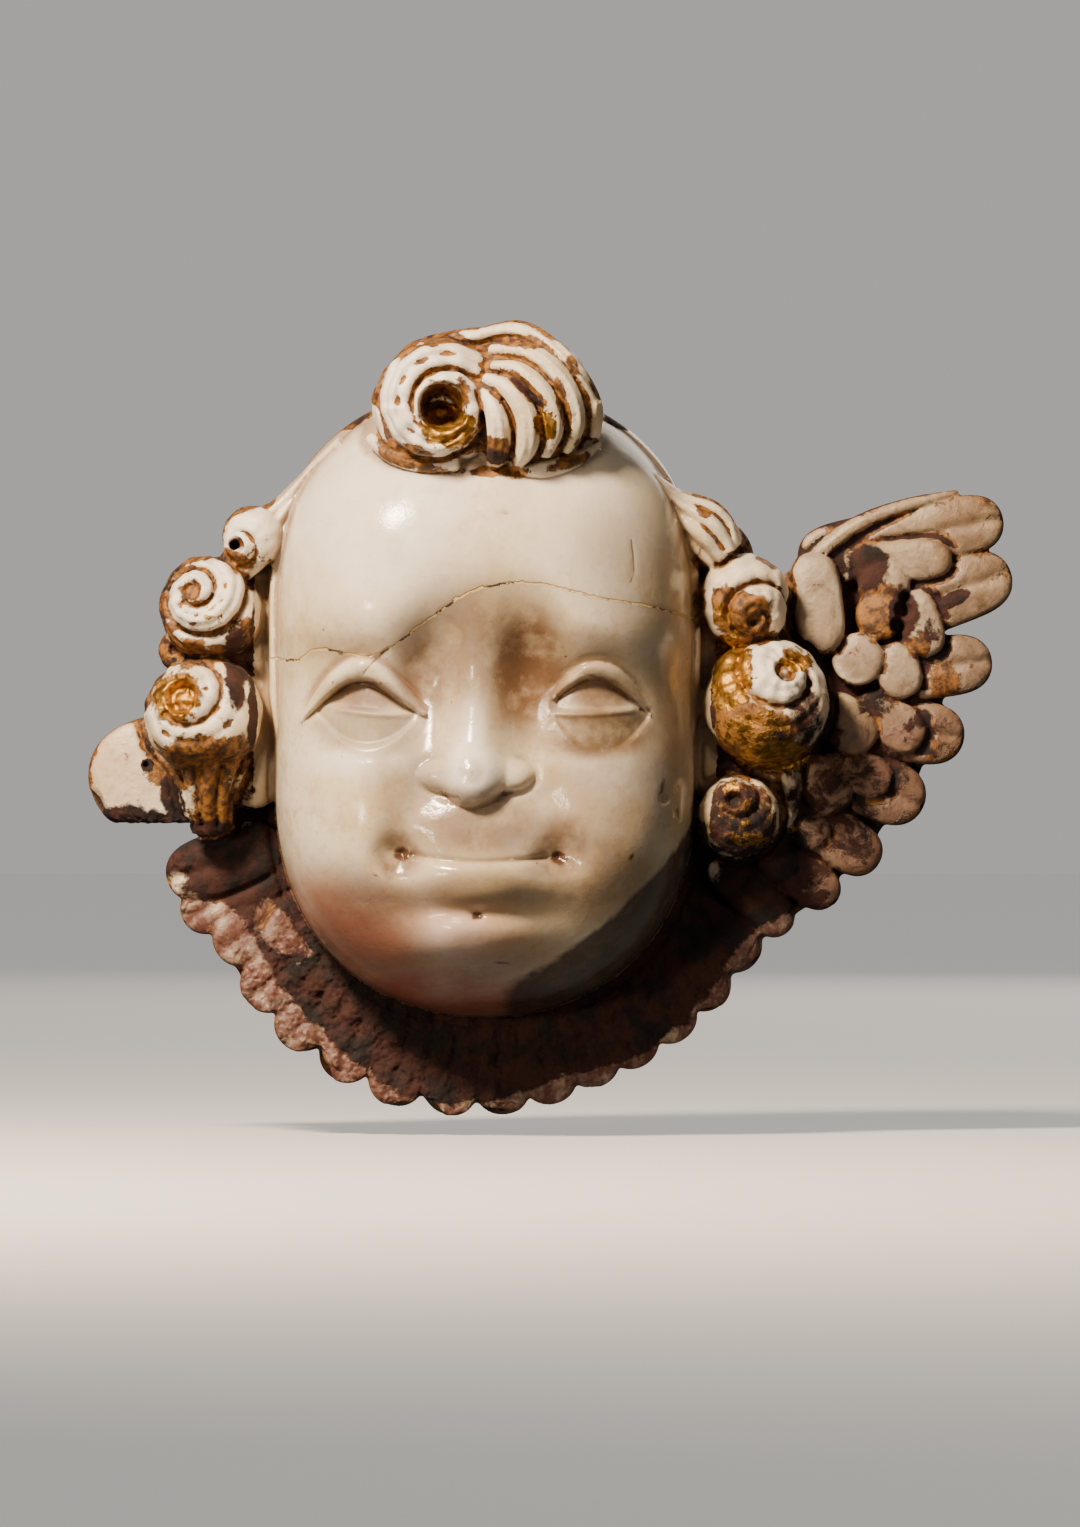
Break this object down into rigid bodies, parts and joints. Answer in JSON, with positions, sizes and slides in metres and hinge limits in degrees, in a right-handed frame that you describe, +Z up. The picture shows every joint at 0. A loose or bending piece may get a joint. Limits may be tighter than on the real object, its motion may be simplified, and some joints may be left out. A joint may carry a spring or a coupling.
{
  "type": "cherub wall plaque",
  "caption": "Carved alabaster wall relief of a cherub's curly head on a feathered collar, one wing spread and the other broken off.",
  "frame": {"origin": "on the flat back face that lies against the wall, behind the middle of the face at the height of the eyes", "axes": "+Z up, +X to the viewer's right, the face looks along -Y, the back face looks along +Y"},
  "size_m": [0.1857, 0.0548, 0.1586],
  "materials": {
    "alabaster": "polished, worn, with remains of gilding and dark patina"
  },
  "bodies": {
    "root": {"cherub_relief": "alabaster"}
  },
  "joints": []
}
